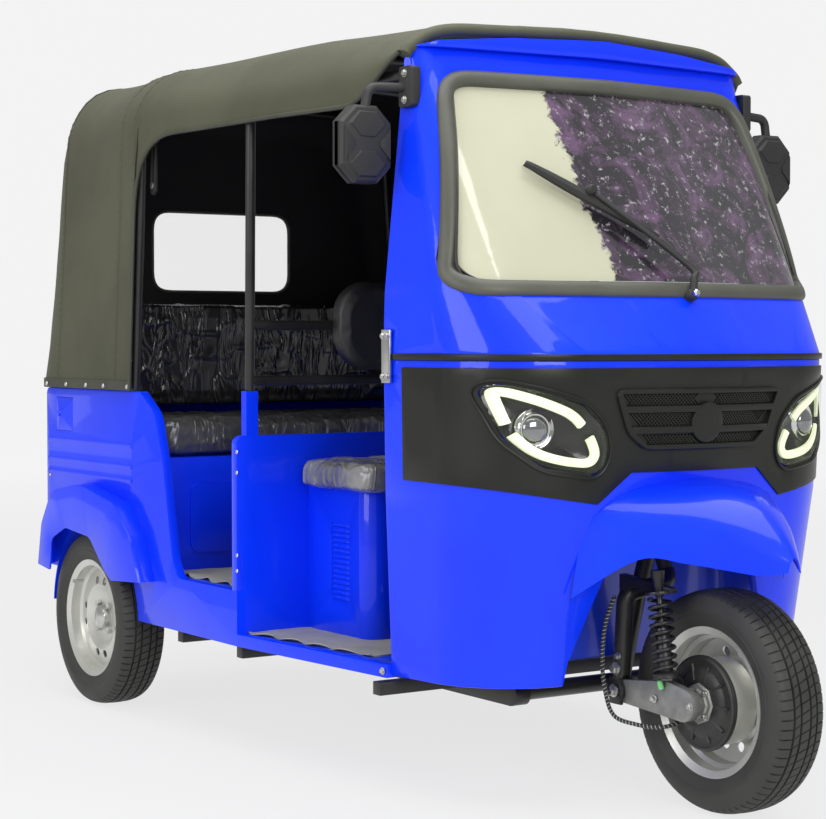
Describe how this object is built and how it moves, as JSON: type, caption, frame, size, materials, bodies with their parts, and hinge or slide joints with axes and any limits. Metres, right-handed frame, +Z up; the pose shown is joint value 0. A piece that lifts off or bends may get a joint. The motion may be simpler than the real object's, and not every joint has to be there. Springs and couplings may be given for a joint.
{
  "type": "auto rickshaw",
  "caption": "Passenger auto rickshaw with a closed front cowl, open sides, fabric canopy, louvred driver seat box and single-sided front fork.",
  "frame": {"origin": "on the ground, at the middle of the overall length and width", "axes": "+Z up, the front faces -Y, the right side of the vehicle is at -X"},
  "size_m": [1.36, 2.597, 1.8079],
  "materials": {
    "body_paint": "gloss",
    "black_trim": "satin",
    "frame_black": "satin",
    "glass": "clear",
    "lamp_lens": "clear",
    "tail_lens": "gloss",
    "rubber": "satin",
    "tyre": "matte",
    "rim_silver": "satin",
    "vinyl": "satin",
    "seat_vinyl": "satin",
    "steel": "satin",
    "cast": "matte"
  },
  "bodies": {
    "root": {"cowl_lower": "body_paint", "cowl_upper": "body_paint", "header": "body_paint", "windshield_seal": "rubber", "windshield_glass": "glass", "belt_strip": "black_trim", "lamp_mask": "black_trim", "headlamp_right": "lamp_lens", "headlamp_left": "lamp_lens", "grille": "black_trim", "front_fender": "body_paint", "wheel_housing": "body_paint", "chassis": "frame_black", "floor": "body_paint", "engine_block": "cast", "side_panel_right": "body_paint", "side_panel_left": "body_paint", "bulkhead": "body_paint", "seat_box": "body_paint", "driver_cushion": "seat_vinyl", "driver_backrest": "seat_vinyl", "passenger_base": "body_paint", "passenger_cushion": "seat_vinyl", "passenger_backrest": "seat_vinyl", "rear_panel": "body_paint", "tail_lamps": "tail_lens", "rear_fender_right": "body_paint", "rear_fender_left": "body_paint", "canopy": "vinyl", "rear_window": "glass", "canopy_frame": "frame_black", "rear_axle": "frame_black", "leaf_springs": "frame_black", "drive_shaft": "steel", "silencer": "steel", "dash": "black_trim", "mirrors": "black_trim", "wiper": "black_trim", "grab_straps": "black_trim", "hinge_plates": "steel"},
    "steering": {"steering_column": "frame_black", "fork": "frame_black", "link_arm": "cast", "brake_plate": "frame_black", "shock": "frame_black", "spring": "frame_black", "brake_hose": "rubber"},
    "front_wheel": {"front_tyre": "tyre", "front_rim": "rim_silver"},
    "rear_right_wheel": {"rear_right_tyre": "tyre", "rear_right_rim": "rim_silver"},
    "rear_left_wheel": {"rear_left_tyre": "tyre", "rear_left_rim": "rim_silver"},
    "flap": {"access_flap": "body_paint"}
  },
  "joints": [
    {"name": "steer", "type": "hinge", "parent": "root", "child": "steering", "pos_m": [0, -0.8415, 0.52], "axis": [0, 0.4226, 0.9063], "range_deg": [-35, 35]},
    {"name": "front_wheel_spin", "type": "hinge", "parent": "steering", "child": "front_wheel", "pos_m": [0, -1.0515, 0.247], "axis": [1, 0, 0], "continuous": true},
    {"name": "rear_right_wheel_spin", "type": "hinge", "parent": "root", "child": "rear_right_wheel", "pos_m": [-0.5555, 0.9485, 0.247], "axis": [1, 0, 0], "continuous": true},
    {"name": "rear_left_wheel_spin", "type": "hinge", "parent": "root", "child": "rear_left_wheel", "pos_m": [0.5555, 0.9485, 0.247], "axis": [1, 0, 0], "continuous": true},
    {"name": "flap_hinge", "type": "hinge", "parent": "root", "child": "flap", "pos_m": [-0.6, 1.0905, 0.824], "axis": [0, 0, 1], "range_deg": [0, 95]}
  ]
}
